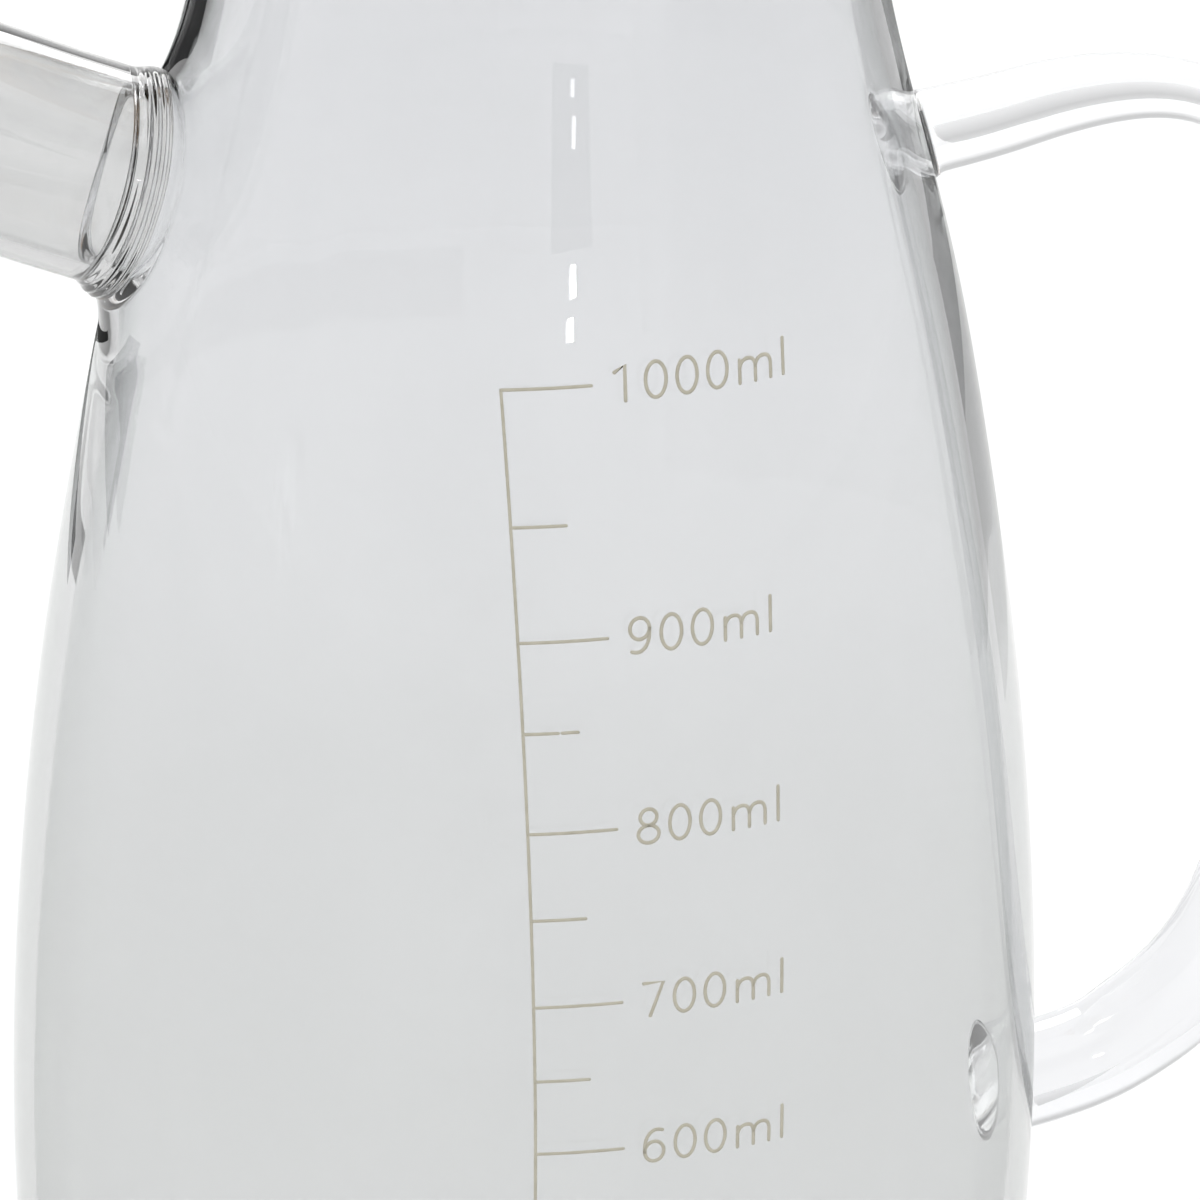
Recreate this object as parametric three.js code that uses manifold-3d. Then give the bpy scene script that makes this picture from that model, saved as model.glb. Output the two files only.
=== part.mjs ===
// Hand-blown glass pouring jug with a tube spout, a glass rod handle and a lift-off wooden lid.
// Millimetres, +Z up. The origin is the centre of the flat base. The spout points along -X and the
// handle along +X. Glass pieces that are flame-welded on the real jug stand a small gap apart.
import * as THREE from 'three';
import { mergeVertices } from 'three/addons/utils/BufferGeometryUtils.js';
import Module from 'manifold-3d';

const wasm = await Module();
wasm.setup();

// Clearance between touching pieces.
const GAP = 0.3;

// Vessel.
const WALL = 2;
const FLOOR = 3;
const FOOT_RADIUS = 37;
const WIDEST_RADIUS = 49.8;
const WIDEST_HEIGHT = 73;
const NECK_RADIUS = 30.2;
const NECK_HEIGHT = 202;
const RIM_RADIUS = 31.8;
const RIM_HEIGHT = 212;
const VESSEL_SIDES = 44;
const FLANK_STEPS = 22;
const RIM_STEPS = 8;
// Outside of the wall between the foot and the neck, as [radius, height].
const FLANK = [
  [43.4, 2.4],
  [46.2, 9],
  [47.6, 22],
  [48.7, 46],
  [WIDEST_RADIUS, WIDEST_HEIGHT],
  [48.5, 103],
  [46.2, 123],
  [42.8, 143],
  [38.5, 163],
  [32.8, 183],
  [30.6, 194],
  [NECK_RADIUS, NECK_HEIGHT],
];

// Spout. Its bore is wider than the hole blown through the wall of the vessel.
const SPOUT_ROOT = new THREE.Vector3(-36.9, 0, 169.6);
const SPOUT_RISE = THREE.MathUtils.degToRad(21.4);
const SPOUT_RADIUS = 10;
const SPOUT_STRAIGHT = 14;
const SPOUT_WALL = 1.6;
const SPOUT_TIP_RADIUS = 6.2;
const SPOUT_WELD_FLARE = 1.4;
const SPOUT_LIP_FLARE = 0.9;
const SPOUT_HOLE_RADIUS = 7.25;
const SPOUT_SIDES = 20;
const SPOUT_STEPS = 24;
// Centre line from inside the vessel to the tip, as [x, z].
const SPOUT_LINE = [
  [-31, 167.3],
  [-49.3, 173.9],
  [-62, 179.2],
  [-75, 186],
  [-87, 195],
  [-96, 206],
  [-101, 216],
];

// Handle: a solid rod, thick at its lower weld and drawn thin over the top bend.
const HANDLE_SIDES = 12;
const HANDLE_STEPS = 44;
// Centre line and rod radius from inside the upper wall to inside the lower wall, as [x, z, radius].
const HANDLE_LINE = [
  [32, 170.5, 4.4],
  [41.2, 172.4, 4],
  [52.7, 174.9, 3.5],
  [63.4, 174.3, 2.8],
  [71.5, 169.3, 2.8],
  [75.9, 159, 3],
  [77.2, 145, 3.4],
  [77.2, 124, 4.2],
  [75.4, 103, 4.9],
  [68.8, 84, 5.4],
  [58.9, 76.3, 5.3],
  [44, 72, 5.2],
];
const HANDLE_WELD_FLARE = 0.7;
// How far along the handle's line each weld is from that line's own end.
const UPPER_WELD_AT = 5;
const LOWER_WELD_AT = 6;
// How far a weld's or a lip's flare reaches along its tube or rod.
const WELD_REACH = 3;

// Lid.
const LID_RADIUS = 34.5;
const LID_THICKNESS = 9;
const LID_EDGE = 2;
const PLUG_RADIUS = 26.4;
const PLUG_DEPTH = 14;
const PLUG_CHAMFER = 1;
const GROOVE_RADIUS = 23.6;
const GROOVE_HEIGHT = 5;
const GROOVE_ABOVE_PLUG = 4.5;
const SEAL_RADIUS = NECK_RADIUS - WALL - GAP;
const SEAL_WEB_RADIUS = 26;
const SEAL_LIP = 0.55;
const KNOB_RADIUS = 12;
const KNOB_NECK_RADIUS = 7;
const KNOB_HEIGHT = 25;
const KNOB_FOOT = 2;
const KNOB_SIDES = 28;
const SCREW_RADIUS = 1.9;
const SCREW_HEAD_RADIUS = 4;
const SCREW_HEAD_HEIGHT = 2.2;
const SCREW_SLOT_WIDTH = 1;
const SCREW_SLOT_DEPTH = 1.1;
const SCREW_BEVEL = 1;
const SCREW_POINT = 2;
const SCREW_IN_KNOB = 13;
const SCREW_SIDES = 16;
const WASHER_RADIUS = 5.5;
const WASHER_THICKNESS = 1;
const WASHER_SIDES = 20;
const LID_SIDES = 32;

// Heights of the lid's pieces, from the rim upward and downward.
const LID_BASE = RIM_HEIGHT + GAP;
const LID_TOP = LID_BASE + LID_THICKNESS;
const PLUG_TOP = LID_BASE - GAP;
const PLUG_BASE = PLUG_TOP - PLUG_DEPTH;
const WASHER_TOP = PLUG_BASE - GAP;
const WASHER_BASE = WASHER_TOP - WASHER_THICKNESS;
const SCREW_HEAD_TOP = WASHER_BASE - GAP;
const KNOB_BASE = LID_TOP + GAP;
const SCREW_TIP = KNOB_BASE + SCREW_IN_KNOB;

const MATERIALS = {
  glass: { color: 0xeef3f2, roughness: 0.05, metalness: 0 },
  bamboo: { color: 0xc99a5b, roughness: 0.55, metalness: 0 },
  silicone: { color: 0xe9e7e0, roughness: 0.6, metalness: 0 },
  steel: { color: 0xb9bcc0, roughness: 0.3, metalness: 1 },
};

function material(name) {
  return new THREE.MeshStandardMaterial(MATERIALS[name]);
}

function point(radius, height) {
  return new THREE.Vector2(radius, height);
}

// A solid of revolution about Z from [radius, height] points that start and end on the axis, or
// that close on themselves.
function turned(points, sides) {
  const geometry = new THREE.LatheGeometry(points, sides);
  return geometry.rotateX(Math.PI / 2);
}

function closedRing(points, sides) {
  return turned([...points, points[0].clone()], sides);
}

function toSolid(geometry) {
  const bare = geometry.clone();
  bare.deleteAttribute('normal');
  bare.deleteAttribute('uv');
  const merged = mergeVertices(bare, 1e-4);
  const index = merged.index.array;
  const kept = [];
  for (let i = 0; i < index.length; i += 3) {
    const [a, b, c] = [index[i], index[i + 1], index[i + 2]];
    if (a !== b && b !== c && c !== a) kept.push(a, b, c);
  }
  const vertProperties = Float32Array.from(merged.attributes.position.array);
  const triVerts = Uint32Array.from(kept);
  return new wasm.Manifold(new wasm.Mesh({ numProp: 3, vertProperties, triVerts }));
}

function toGeometry(solid) {
  const mesh = solid.getMesh();
  const geometry = new THREE.BufferGeometry();
  geometry.setAttribute('position', new THREE.BufferAttribute(mesh.vertProperties, mesh.numProp));
  geometry.setIndex(new THREE.BufferAttribute(mesh.triVerts, 1));
  geometry.computeVertexNormals();
  return geometry;
}

function piece(name, solid, materialName) {
  const mesh = new THREE.Mesh(toGeometry(solid), material(materialName));
  mesh.name = name;
  return mesh;
}

// Points moved sideways off an outline, to its left by a positive distance.
function offset(points, distance) {
  return points.map((p, i) => {
    const before = points[Math.max(i - 1, 0)];
    const after = points[Math.min(i + 1, points.length - 1)];
    const along = after.clone().sub(before).normalize();
    return point(p.x - along.y * distance, p.y + along.x * distance);
  });
}

function flankPoints() {
  const curve = new THREE.SplineCurve(FLANK.map(([radius, height]) => point(radius, height)));
  return curve.getPoints(FLANK_STEPS);
}

function arcPoints(centre, radius, from, to, steps) {
  return Array.from({ length: steps + 1 }, (_, i) => {
    const angle = from + ((to - from) * i) / steps;
    return point(centre.x + radius * Math.cos(angle), centre.y + radius * Math.sin(angle));
  });
}

// The rounded bead at the mouth, from outside to inside.
function rimPoints() {
  const half = (RIM_RADIUS - (NECK_RADIUS - WALL)) / 2;
  const centre = point(RIM_RADIUS - half, RIM_HEIGHT - half);
  return arcPoints(centre, half, -Math.PI / 4, Math.PI, RIM_STEPS);
}

function vesselOutline() {
  const outside = flankPoints();
  const inside = offset(outside, WALL).filter((p) => p.y > FLOOR + 2);
  const footInside = point(FOOT_RADIUS - WALL, FLOOR);
  return [
    point(0, 0),
    point(FOOT_RADIUS, 0),
    ...outside,
    ...rimPoints(),
    ...inside.reverse(),
    footInside,
    point(0, FLOOR),
  ];
}

// Everything inside the outer skin of the vessel, grown by the welding gap. It trims what is
// welded on.
function vesselCore() {
  const outside = offset(flankPoints(), -GAP);
  const top = outside[outside.length - 1];
  return toSolid(turned([point(0, 0), ...outside, point(0, top.y)], VESSEL_SIDES));
}

function spoutHole() {
  const reach = 4 * SPOUT_HOLE_RADIUS;
  const drill = new THREE.CylinderGeometry(SPOUT_HOLE_RADIUS, SPOUT_HOLE_RADIUS, reach, SPOUT_SIDES);
  drill.rotateZ(Math.PI / 2 - SPOUT_RISE);
  drill.translate(SPOUT_ROOT.x, SPOUT_ROOT.y, SPOUT_ROOT.z);
  return toSolid(drill);
}

function glassBody() {
  const blown = toSolid(turned(vesselOutline(), VESSEL_SIDES));
  return piece('glass_body', blown.subtract(spoutHole()), 'glass');
}

function lineThrough(stops) {
  const curve = new THREE.CatmullRomCurve3(stops.map(([x, z]) => new THREE.Vector3(x, 0, z)));
  curve.arcLengthDivisions = 400;
  return curve;
}

// Carries a shape turned about Z onto a curve in the XZ plane. Heights are distances along it.
function bend(geometry, curve) {
  const length = curve.getLength();
  const side = new THREE.Vector3(0, 1, 0);
  const positions = geometry.attributes.position;
  for (let i = 0; i < positions.count; i += 1) {
    const share = THREE.MathUtils.clamp(positions.getZ(i) / length, 0, 1);
    const along = curve.getTangentAt(share);
    const normal = side.clone().cross(along);
    const moved = curve.getPointAt(share);
    moved.addScaledVector(normal, positions.getX(i));
    moved.addScaledVector(side, positions.getY(i));
    positions.setXYZ(i, moved.x, moved.y, moved.z);
  }
  return geometry;
}

function flare(distance, size) {
  return size * Math.exp(-((distance / WELD_REACH) ** 2));
}

function evenSteps(length, count) {
  return Array.from({ length: count + 1 }, (_, i) => (length * i) / count);
}

// Outer radius of the spout at a distance along its line, without its weld: straight, then drawn
// in to a tip with a small lip.
function drawnRadius(distance, length, root) {
  const taper = THREE.MathUtils.smoothstep(distance, root + SPOUT_STRAIGHT, length);
  const drawn = THREE.MathUtils.lerp(SPOUT_RADIUS, SPOUT_TIP_RADIUS, taper);
  return drawn + flare(length - distance, SPOUT_LIP_FLARE);
}

function spout() {
  const curve = lineThrough(SPOUT_LINE);
  const length = curve.getLength();
  const root = SPOUT_ROOT.distanceTo(curve.getPoint(0));
  const stations = evenSteps(length, SPOUT_STEPS);
  const outside = stations.map((s) => {
    return point(drawnRadius(s, length, root) + flare(s - root, SPOUT_WELD_FLARE), s);
  });
  const inside = stations.map((s) => point(drawnRadius(s, length, root) - SPOUT_WALL, s));
  const tube = bend(closedRing([...outside, ...inside.reverse()], SPOUT_SIDES), curve);
  return piece('spout', toSolid(tube).subtract(vesselCore()), 'glass');
}

// Rod radius at a share of the handle's line, blended between its stops.
function handleRadius(curve, share) {
  const position = curve.getUtoTmapping(share) * (HANDLE_LINE.length - 1);
  const low = Math.min(Math.floor(position), HANDLE_LINE.length - 2);
  const blend = THREE.MathUtils.smoothstep(position - low, 0, 1);
  return THREE.MathUtils.lerp(HANDLE_LINE[low][2], HANDLE_LINE[low + 1][2], blend);
}

function handle() {
  const curve = lineThrough(HANDLE_LINE);
  const length = curve.getLength();
  const outline = evenSteps(length, HANDLE_STEPS).map((s) => {
    const upper = flare(s - UPPER_WELD_AT, HANDLE_WELD_FLARE);
    const lower = flare(length - s - LOWER_WELD_AT, HANDLE_WELD_FLARE);
    return point(handleRadius(curve, s / length) + upper + lower, s);
  });
  const rod = bend(turned([point(0, 0), ...outline, point(0, length)], HANDLE_SIDES), curve);
  return piece('handle', toSolid(rod).subtract(vesselCore()), 'glass');
}

function column(radius, base, top, sides) {
  return toSolid(turned([point(0, base), point(radius, base), point(radius, top), point(0, top)], sides));
}

// Room for the screw, straight through or up to a height.
function screwRoom(base, top) {
  return column(SCREW_RADIUS + GAP, base, top, HANDLE_SIDES);
}

function lidDisc() {
  const corner = LID_RADIUS - LID_EDGE;
  const outline = [
    point(0, LID_BASE),
    point(corner, LID_BASE),
    ...arcPoints(point(corner, LID_BASE + LID_EDGE), LID_EDGE, -Math.PI / 4, 0, 1),
    ...arcPoints(point(corner, LID_TOP - LID_EDGE), LID_EDGE, 0, Math.PI / 2, 3),
    point(0, LID_TOP),
  ];
  const disc = toSolid(turned(outline, LID_SIDES));
  return piece('lid_disc', disc.subtract(screwRoom(LID_BASE - 1, LID_TOP + 1)), 'bamboo');
}

function lidPlug() {
  const grooveBase = PLUG_BASE + GROOVE_ABOVE_PLUG;
  const outline = [
    point(0, PLUG_BASE),
    point(PLUG_RADIUS - PLUG_CHAMFER, PLUG_BASE),
    point(PLUG_RADIUS, PLUG_BASE + PLUG_CHAMFER),
    point(PLUG_RADIUS, grooveBase),
    point(GROOVE_RADIUS, grooveBase),
    point(GROOVE_RADIUS, grooveBase + GROOVE_HEIGHT),
    point(PLUG_RADIUS, grooveBase + GROOVE_HEIGHT),
    point(PLUG_RADIUS, PLUG_TOP),
    point(0, PLUG_TOP),
  ];
  const plug = toSolid(turned(outline, LID_SIDES));
  return piece('lid_plug', plug.subtract(screwRoom(PLUG_BASE - 1, PLUG_TOP + 1)), 'bamboo');
}

// The silicone ring in the plug's groove, with two lips that wipe the inside of the neck.
function sealRing() {
  const base = PLUG_BASE + GROOVE_ABOVE_PLUG + GAP;
  const top = base + GROOVE_HEIGHT - 2 * GAP;
  const bore = GROOVE_RADIUS + GAP;
  const middle = (base + top) / 2;
  const outline = [
    point(bore, base),
    point(SEAL_WEB_RADIUS, base),
    point(SEAL_RADIUS, base + SEAL_LIP),
    point(SEAL_RADIUS, base + 2 * SEAL_LIP),
    point(SEAL_WEB_RADIUS, middle),
    point(SEAL_RADIUS, top - 2 * SEAL_LIP),
    point(SEAL_RADIUS, top - SEAL_LIP),
    point(SEAL_WEB_RADIUS, top),
    point(bore, top),
  ];
  return piece('seal_ring', toSolid(closedRing(outline, LID_SIDES)), 'silicone');
}

function lidKnob() {
  const top = KNOB_BASE + KNOB_HEIGHT;
  const ball = point(0, top - KNOB_RADIUS);
  const outline = [
    point(0, KNOB_BASE),
    point(KNOB_NECK_RADIUS, KNOB_BASE),
    point(KNOB_NECK_RADIUS - KNOB_FOOT / 2, KNOB_BASE + KNOB_FOOT),
    ...arcPoints(ball, KNOB_RADIUS, -0.3 * Math.PI, Math.PI / 2, 11),
  ];
  const knob = toSolid(turned(outline, KNOB_SIDES));
  return piece('lid_knob', knob.subtract(screwRoom(KNOB_BASE - 1, SCREW_TIP + GAP)), 'bamboo');
}

function knobScrew() {
  const headBase = SCREW_HEAD_TOP - SCREW_HEAD_HEIGHT;
  const outline = [
    point(0, headBase),
    point(SCREW_HEAD_RADIUS - SCREW_BEVEL, headBase),
    point(SCREW_HEAD_RADIUS, headBase + SCREW_BEVEL),
    point(SCREW_HEAD_RADIUS, SCREW_HEAD_TOP),
    point(SCREW_RADIUS, SCREW_HEAD_TOP),
    point(SCREW_RADIUS, SCREW_TIP - SCREW_POINT),
    point(0, SCREW_TIP),
  ];
  const screw = toSolid(turned(outline, SCREW_SIDES));
  const blade = new THREE.BoxGeometry(3 * SCREW_HEAD_RADIUS, SCREW_SLOT_WIDTH, 2 * SCREW_SLOT_DEPTH);
  const across = blade.clone().rotateZ(Math.PI / 2);
  const slot = toSolid(blade.translate(0, 0, headBase));
  const crossSlot = toSolid(across.translate(0, 0, headBase));
  return piece('knob_screw', screw.subtract(slot).subtract(crossSlot), 'steel');
}

function screwWasher() {
  const bore = SCREW_RADIUS + GAP;
  const outline = [
    point(bore, WASHER_BASE),
    point(WASHER_RADIUS, WASHER_BASE),
    point(WASHER_RADIUS, WASHER_TOP),
    point(bore, WASHER_TOP),
  ];
  return piece('screw_washer', toSolid(closedRing(outline, WASHER_SIDES)), 'steel');
}

const jug = new THREE.Group();
jug.add(glassBody(), spout(), handle());

const lid = new THREE.Group();
lid.add(lidDisc(), lidPlug(), sealRing(), lidKnob(), knobScrew(), screwWasher());

const model = new THREE.Group();
model.add(jug, lid);

export default model;
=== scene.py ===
import math

import bmesh
import bpy
import numpy as np
from mathutils import Matrix, Vector


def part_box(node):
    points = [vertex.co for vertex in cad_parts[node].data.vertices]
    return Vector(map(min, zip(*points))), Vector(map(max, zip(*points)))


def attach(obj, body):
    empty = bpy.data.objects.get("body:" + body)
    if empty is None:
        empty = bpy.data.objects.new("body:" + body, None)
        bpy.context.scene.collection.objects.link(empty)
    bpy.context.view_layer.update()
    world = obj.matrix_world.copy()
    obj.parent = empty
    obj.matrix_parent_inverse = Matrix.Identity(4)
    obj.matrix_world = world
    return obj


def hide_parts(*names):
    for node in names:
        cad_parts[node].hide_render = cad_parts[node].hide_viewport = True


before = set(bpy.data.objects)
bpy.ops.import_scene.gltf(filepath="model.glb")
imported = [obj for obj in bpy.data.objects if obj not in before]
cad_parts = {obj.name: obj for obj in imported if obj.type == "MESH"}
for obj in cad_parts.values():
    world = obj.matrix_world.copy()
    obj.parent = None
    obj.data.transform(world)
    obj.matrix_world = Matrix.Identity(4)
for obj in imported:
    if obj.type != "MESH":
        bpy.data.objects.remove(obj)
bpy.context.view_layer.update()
scene = bpy.context.scene

# Vessel, from the outside in. The flank is [radius, height] from the foot to the neck.
FLANK = [
    (0.0434, 0.0024), (0.0462, 0.009), (0.0476, 0.022), (0.0487, 0.046), (0.0498, 0.073),
    (0.0485, 0.103), (0.0462, 0.123), (0.0428, 0.143), (0.0385, 0.163), (0.0328, 0.183),
    (0.0306, 0.194), (0.0302, 0.202),
]
FOOT = [(0.0, 0.0007), (0.016, 0.0006), (0.029, 0.0002), (0.0355, 0.0), (0.0405, 0.0006)]
FOOT_INSIDE = [(0.0416, 0.0105), (0.0392, 0.0056), (0.034, 0.0037), (0.02, 0.0034), (0.0, 0.0036)]
WALL = 0.002
RIM_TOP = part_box("glass_body")[1].z
RIM_RADIUS = 0.0318
COLUMNS = 240
ROW_STEP = 0.0011
FOOT_STEP = 0.0015
FLOOR_STEP = 0.0013
# The blown wall's unevenness inside: its height, its waves as (share, turns, rise, start), and
# the heights over which it starts and ends.
WAVE_HEIGHT = 0.00003
WALL_WAVES = [(1, 3, 40, 0), (0.6, 7, -25, 1.3), (0.35, 17, 60, 0.4), (0.2, 31, -35, 0)]
WAVE_FROM = (0.012, 0.03)
WAVE_TO = (0.188, 0.198)

# Spout: centre line as (x, z), from inside the vessel to the tip.
SPOUT_LINE = [
    (-0.031, 0.1673), (-0.0493, 0.1739), (-0.062, 0.1792), (-0.075, 0.186),
    (-0.087, 0.195), (-0.096, 0.206), (-0.101, 0.216),
]
SPOUT_RADIUS = 0.010
SPOUT_TIP_RADIUS = 0.0062
SPOUT_WALL = 0.0016
SPOUT_STRAIGHT = 0.014
# The lip at the spout's tip: how far it flares, and over what length.
LIP_FLARE = 0.0009
LIP_LENGTH = 0.003
# The hole in the vessel's wall, the funnel into it, and the throat just outside it.
SPOUT_HOLE = 0.0087
SPOUT_FUNNEL = 0.0036
FUNNEL_POWER = 1.6
SPOUT_THROAT = 0.0074
THROAT_AT = 0.0029
THROAT_LIP = 0.0004
# Glass gathered at the weld: all round, and more on top and below.
SPOUT_GATHER = (0.0003, 0.0003, 0.0008)
# How far the wall is drawn out at the weld, how much more at its lower side, and how far round.
PULLED_OUT = (0.00095, 0.0004)
PULLED_WIDTH = 0.0055
RIPPLE_PITCH = 0.00072
RIPPLE_HEIGHT = 0.00011
RIPPLE_REACH = 0.003
# Half the columns and rows of the vessel's grid that each weld takes the place of.
SPOUT_BLOCK = (17, 18)
# Between the spout's rings, at its ripples and throat, and elsewhere.
FINE_STEP = 0.00006
TUBE_STEP = 0.0007

# Handle: centre line and rod radius as (x, z, radius), from the upper weld to the lower one.
HANDLE_LINE = [
    (0.032, 0.1705, 0.0042), (0.0412, 0.1724, 0.004), (0.0527, 0.1749, 0.0035),
    (0.0634, 0.1743, 0.0028), (0.0715, 0.1693, 0.0028), (0.0759, 0.159, 0.003),
    (0.0772, 0.145, 0.0034), (0.0772, 0.124, 0.0042), (0.0754, 0.103, 0.0049),
    (0.0688, 0.084, 0.0054), (0.0589, 0.0763, 0.0053), (0.044, 0.072, 0.0052),
]
# The fillet of the handle's welds: how wide on the wall, how tall along the rod.
HANDLE_WELD = (0.0009, 0.0012)
HANDLE_BLOCK = (9, 10)
HANDLE_STEP = 0.0008
SIDEWAYS = np.array([0.0, 1.0, 0.0])


def travelled(points):
    """Distance along a line of points, at each of them."""
    return np.concatenate([[0], np.cumsum(np.linalg.norm(np.diff(points, axis=0), axis=1))])


def unit(vectors):
    return vectors / np.linalg.norm(vectors, axis=1)[:, None]


def sideways_of(points):
    """The way a flat line of points runs, turned left by a right angle."""
    along = unit(np.gradient(points, axis=0))
    return np.stack([-along[:, 1], along[:, 0]], axis=1)


def read_at(s, at, rows):
    """Rows of numbers, given at rising places, read at places between them."""
    return np.stack([np.interp(s, at, column) for column in rows.T], axis=1)


def natural_spline(stops, count):
    """Points of a smooth curve through the stops, evenly spread along its chords."""
    stops = np.array(stops, float)
    knots = travelled(stops[:, :2])
    gap = np.diff(knots)
    size = len(stops)
    system = np.eye(size)
    right = np.zeros_like(stops)
    for i in range(1, size - 1):
        system[i, i - 1 : i + 2] = gap[i - 1], 2 * (gap[i - 1] + gap[i]), gap[i]
        right[i] = 6 * ((stops[i + 1] - stops[i]) / gap[i] - (stops[i] - stops[i - 1]) / gap[i - 1])
    bend = np.linalg.solve(system, right)
    t = np.linspace(0, knots[-1], count)
    k = np.clip(np.searchsorted(knots, t, side="right") - 1, 0, size - 2)
    h = gap[k][:, None]
    a = (knots[k + 1] - t)[:, None] / h
    b = 1 - a
    curved = ((a**3 - a) * bend[k] + (b**3 - b) * bend[k + 1]) * h**2 / 6
    return a * stops[k] + b * stops[k + 1] + curved


def smoothstep(x, low, high):
    t = np.clip((x - low) / (high - low), 0, 1)
    return t * t * (3 - 2 * t)


def resample(points, step):
    """The same outline with points about a step apart."""
    points = np.array(points, float)
    length = travelled(points)
    count = max(2, round(length[-1] / step) + 1)
    at = np.linspace(0, length[-1], count)
    return read_at(at, length, points)


def offset_inward(points, distance):
    """An outline moved towards the axis, at right angles to itself."""
    return points + distance * sideways_of(points)


def arc(centre, radius, start, end, count):
    """Points of a circle between two angles in degrees."""
    angle = np.radians(np.linspace(start, end, count))
    x, y = centre[0] + radius * np.cos(angle), centre[1] + radius * np.sin(angle)
    return np.stack([x, y], axis=1)


flank = resample(natural_spline(FLANK, 1200), ROW_STEP)
flank_inside = offset_inward(flank, WALL)
foot = resample(natural_spline([*FOOT, FLANK[0]], 200), FOOT_STEP)[:-1]
# The fire-polished rim, from the outside over the top to the inside.
half = (RIM_RADIUS - (FLANK[-1][0] - WALL)) / 2
rim = arc((RIM_RADIUS - half, RIM_TOP - half), half, -50, 180, 26)


def wall_radius(outline):
    """The outline's radius as a function of height."""
    order = np.argsort(outline[:, 1])
    return lambda height: np.interp(height, outline[order, 1], outline[order, 0])


fine_flank = natural_spline(FLANK, 4000)
outer_radius = wall_radius(fine_flank)
inner_radius = wall_radius(offset_inward(fine_flank, WALL))


class Builder:
    """Gathers points and faces, then makes one closed mesh of them."""

    def __init__(self):
        self.points, self.faces, self.slots = [], [], []

    def add(self, points):
        start = len(self.points)
        self.points.extend(map(tuple, np.asarray(points, float).reshape(-1, 3)))
        return np.arange(start, len(self.points))

    def face(self, corners, slot=0):
        self.faces.append([int(c) for c in corners])
        self.slots.append(slot)

    def band(self, a, b, slot=0):
        """Quads between two closed rings with as many points."""
        for i in range(len(a)):
            j = (i + 1) % len(a)
            self.face((a[i], a[j], b[j], b[i]), slot)

    def fan(self, ring, centre, slot=0):
        for i in range(len(ring)):
            self.face((ring[i], ring[(i + 1) % len(ring)], centre), slot)

    def rings(self, rings):
        """Bands through a list of rings of points. Returns the rings' indices."""
        made = [self.add(r) for r in rings]
        for a, b in zip(made, made[1:]):
            self.band(a, b)
        return made

    def mesh(self, name, materials):
        """The mesh, facing outward, with sharp edges where a welded face meets the skin."""
        mesh = bpy.data.meshes.new(name)
        mesh.from_pydata(self.points, [], self.faces)
        for material in materials:
            mesh.materials.append(material)
        mesh.polygons.foreach_set("material_index", self.slots)
        mesh.polygons.foreach_set("use_smooth", [True] * len(self.faces))
        edit = bmesh.new()
        edit.from_mesh(mesh)
        bmesh.ops.recalc_face_normals(edit, faces=edit.faces)
        if edit.calc_volume(signed=True) < 0:
            bmesh.ops.reverse_faces(edit, faces=edit.faces)
        for edge in edit.edges:
            edge.smooth = len({face.material_index for face in edge.link_faces}) == 1
        edit.to_mesh(mesh)
        edit.free()
        mesh.update()
        return mesh


def add_object(name, data):
    made = bpy.data.objects.new(name, data)
    scene.collection.objects.link(made)
    return made


def make_object(name, mesh, body):
    """A visible piece that rides on a body."""
    made = add_object(name, mesh)
    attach(made, body)
    return made


LANDING_REACH = 0.03
HALVINGS = 60


def wall_crossing(point, low, high, radius_at):
    """Distances at which lines of points pass out through the wall, found by halving."""
    for _ in range(HALVINGS):
        middle = (low + high) / 2
        x, y, z = point(middle).T
        inside = np.hypot(x, y) < radius_at(z)
        low, high = np.where(inside, middle, low), np.where(inside, high, middle)
    return (low + high) / 2


class Root:
    """The straight start of a limb that leaves the vessel's wall along a direction."""

    def __init__(self, line):
        self.line = line
        ends = np.array([[0.0], [line.length]])
        start = wall_crossing(lambda s: line.place(s)[0], *ends, outer_radius)
        self.start = start[0]
        self.origin, self.out, self.up = [row[0] for row in line.place(start)]

    def plane(self, points):
        """Sideways and upward places of points, seen along the limb."""
        away = np.asarray(points) - self.origin
        return np.stack([away @ SIDEWAYS, away @ self.up], axis=1)

    def point(self, plane, out):
        """The point at a place in the plane, a distance out along the limb."""
        plane = np.asarray(plane)
        out = np.broadcast_to(out, len(plane))[:, None]
        return self.origin + plane[:, :1] * SIDEWAYS + plane[:, 1:] * self.up + out * self.out

    def landing(self, plane, radius_at):
        """How far out along the limb each place meets the wall."""
        reach = np.full(len(plane), LANDING_REACH)
        return wall_crossing(lambda out: self.point(plane, out), -reach, reach, radius_at)

    def on_wall(self, plane):
        """The point of the vessel's skin at each place."""
        return self.point(plane, self.landing(plane, outer_radius))


class Line:
    """A centre line in the XZ plane, read by the distance along it."""

    def __init__(self, stops):
        fine = natural_spline(stops, 3000)
        self.samples = np.stack([fine[:, 0], np.zeros(len(fine)), fine[:, 1]], axis=1)
        self.at = travelled(self.samples)
        self.length = self.at[-1]
        self.radii = fine[:, -1]
        self.along = unit(np.gradient(self.samples, axis=0))

    def place(self, s):
        """The point, the way along, and the way up, which is down for a line to the left."""
        along = unit(read_at(s, self.at, self.along))
        return read_at(s, self.at, self.samples), along, np.cross(along, SIDEWAYS)

    def radius(self, s):
        return np.interp(s, self.at, self.radii)

    def ring(self, s, radius, angles):
        """A round section across the line. s may differ from point to point."""
        position, _, up = self.place(np.broadcast_to(s, len(angles)))
        radius = np.broadcast_to(radius, angles.shape)[:, None]
        away = np.cos(angles)[:, None] * SIDEWAYS + np.sin(angles)[:, None] * up
        return position + radius * away


def circle(radius, angles):
    """Places on a circle in a limb's plane. The radius may differ from angle to angle."""
    away = np.stack([np.cos(angles), np.sin(angles)], axis=1)
    return np.broadcast_to(radius, angles.shape)[:, None] * away


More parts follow.
